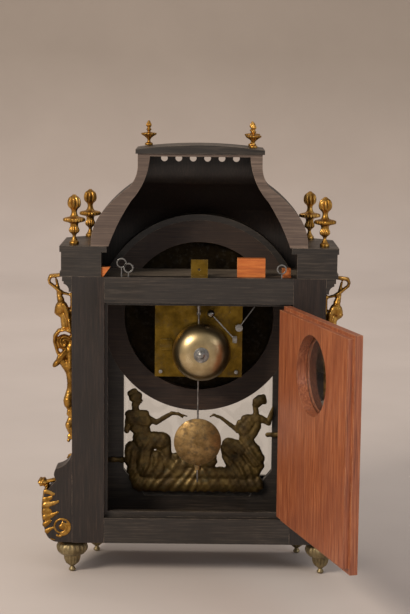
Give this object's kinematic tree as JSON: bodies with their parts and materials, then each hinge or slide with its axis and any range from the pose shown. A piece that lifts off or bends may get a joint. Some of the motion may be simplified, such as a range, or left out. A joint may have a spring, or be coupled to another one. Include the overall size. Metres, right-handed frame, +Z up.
{
  "type": "bracket clock",
  "caption": "Domed bracket clock with a glazed arched front door, an open-backed hood, a hinged back door, a striking movement with bell and pendulum, and cast corner mounts.",
  "frame": {"origin": "middle of the case at table height, on the plane that the feet stand on", "axes": "+Z up, front (dial side) towards -Y, open back towards +Y, +X to the right seen from the front"},
  "size_m": [0.522, 0.4971, 0.7399],
  "materials": {
    "blackened_oak": "worn ebonised, satin",
    "mahogany": "old waxed, dull",
    "raw_wood": "bare",
    "window_glass": "clear",
    "gilt_bronze": "old gilding, satin",
    "dull_bronze": "tarnished",
    "dark_bronze": "dark brown patina, cast",
    "brass": "dull lacquered",
    "bell_metal": "pale satin",
    "steel": "old grey"
  },
  "bodies": {
    "case": {"base_board": "blackened_oak", "rear_stile_left": "blackened_oak", "rear_stile_right": "blackened_oak", "rear_top_rail": "blackened_oak", "rear_bottom_rail": "blackened_oak", "side_panel_left": "blackened_oak", "side_panel_right": "blackened_oak", "canted_corner_left": "blackened_oak", "canted_corner_right": "blackened_oak", "cornice": "blackened_oak", "front_board": "blackened_oak", "dial_ring": "blackened_oak", "shelf_board": "blackened_oak", "front_sill": "blackened_oak", "shoulder_blocks": "blackened_oak", "arch_hood": "blackened_oak", "dome_rear_frame": "blackened_oak", "dome_side_left": "blackened_oak", "dome_side_right": "blackened_oak", "dome_front": "blackened_oak", "top_deck": "blackened_oak", "consoles": "blackened_oak", "glue_blocks": "raw_wood", "corner_mounts": "gilt_bronze", "urns": "gilt_bronze", "top_finials": "gilt_bronze", "dial_plate": "gilt_bronze", "feet": "dull_bronze", "relief_group": "dark_bronze", "case_hinges": "brass", "back_plate": "brass", "front_plate": "brass", "pillars": "brass", "plate_cocks": "brass", "cover_lock": "brass", "bell": "bell_metal", "bell_stand": "steel", "wire_eyes": "steel"},
    "rear_door": {"rear_door": "mahogany", "rear_door_glass": "window_glass", "rear_door_hinges": "brass"},
    "front_door": {"front_door": "blackened_oak", "front_door_glass": "window_glass", "front_door_hinges": "brass"},
    "pendulum": {"pendulum_rod": "steel", "pendulum_bob": "brass"},
    "rating_nut": {"rating_nut": "brass"},
    "pallets": {"pallet_arbor": "steel"},
    "minute": {"centre_wheel": "brass", "minute_hand": "steel"},
    "hour": {"hour_hand": "steel"},
    "third": {"third_wheel": "brass"},
    "escape": {"escape_wheel": "brass"},
    "intermediate": {"intermediate_wheel": "brass"},
    "going_barrel": {"going_barrel": "brass"},
    "strike_barrel": {"strike_barrel": "brass"},
    "pin_wheel": {"pin_wheel": "brass"},
    "fly": {"fly": "brass"},
    "hammer": {"hammer": "brass"},
    "repeat_lever": {"repeat_lever": "steel"}
  },
  "joints": [
    {"name": "rear_door_hinge", "type": "hinge", "parent": "case", "child": "rear_door", "pos_m": [-0.1504, 0.0915, 0.275], "axis": [0, 0, 1], "range_deg": [-107, 13]},
    {"name": "front_door_hinge", "type": "hinge", "parent": "case", "child": "front_door", "pos_m": [0.16, -0.0895, 0.26], "axis": [0, 0, 1], "range_deg": [0, 110]},
    {"name": "pendulum_swing", "type": "hinge", "parent": "case", "child": "pendulum", "pos_m": [0, 0.034, 0.466], "axis": [0, 1, 0], "range_deg": [-4, 4]},
    {"name": "pallet_swing", "type": "hinge", "parent": "case", "child": "pallets", "pos_m": [0, 0, 0.466], "axis": [0, 1, 0], "range_deg": [-4, 4]},
    {"name": "rating_nut_turn", "type": "hinge", "parent": "pendulum", "child": "rating_nut", "pos_m": [0, 0.034, 0.171], "axis": [0, 0, 1], "continuous": true},
    {"name": "minute_turn", "type": "hinge", "parent": "case", "child": "minute", "pos_m": [0, 0, 0.414], "axis": [0, 1, 0], "continuous": true},
    {"name": "hour_turn", "type": "hinge", "parent": "case", "child": "hour", "pos_m": [0, 0, 0.414], "axis": [0, 1, 0], "continuous": true},
    {"name": "third_turn", "type": "hinge", "parent": "case", "child": "third", "pos_m": [-0.0213, 0, 0.4359], "axis": [0, 1, 0], "continuous": true},
    {"name": "escape_turn", "type": "hinge", "parent": "case", "child": "escape", "pos_m": [0, 0, 0.449], "axis": [0, 1, 0], "continuous": true},
    {"name": "intermediate_turn", "type": "hinge", "parent": "case", "child": "intermediate", "pos_m": [0.028, 0, 0.39404], "axis": [0, 1, 0], "continuous": true},
    {"name": "going_barrel_turn", "type": "hinge", "parent": "case", "child": "going_barrel", "pos_m": [0.036, 0, 0.361], "axis": [0, 1, 0], "continuous": true},
    {"name": "strike_barrel_turn", "type": "hinge", "parent": "case", "child": "strike_barrel", "pos_m": [-0.036, 0, 0.361], "axis": [0, 1, 0], "continuous": true},
    {"name": "pin_wheel_turn", "type": "hinge", "parent": "case", "child": "pin_wheel", "pos_m": [-0.028, 0, 0.39404], "axis": [0, 1, 0], "continuous": true},
    {"name": "fly_turn", "type": "hinge", "parent": "case", "child": "fly", "pos_m": [-0.05, 0, 0.43], "axis": [0, 1, 0], "continuous": true},
    {"name": "hammer_swing", "type": "hinge", "parent": "case", "child": "hammer", "pos_m": [-0.059, 0, 0.387], "axis": [0, 1, 0], "range_deg": [-12, 12]},
    {"name": "repeat_lever_swing", "type": "hinge", "parent": "case", "child": "repeat_lever", "pos_m": [-0.066, 0, 0.405], "axis": [0, 1, 0], "range_deg": [-10, 10]}
  ],
  "couplings": [
    {"joint": "pallet_swing", "follows": "pendulum_swing", "ratio": 1},
    {"joint": "hour_turn", "follows": "minute_turn", "ratio": 0.083333},
    {"joint": "third_turn", "follows": "minute_turn", "ratio": -6.6},
    {"joint": "escape_turn", "follows": "minute_turn", "ratio": 34.32},
    {"joint": "intermediate_turn", "follows": "minute_turn", "ratio": -0.15152},
    {"joint": "going_barrel_turn", "follows": "minute_turn", "ratio": 0.021044},
    {"joint": "pin_wheel_turn", "follows": "strike_barrel_turn", "ratio": -7.2}
  ]
}
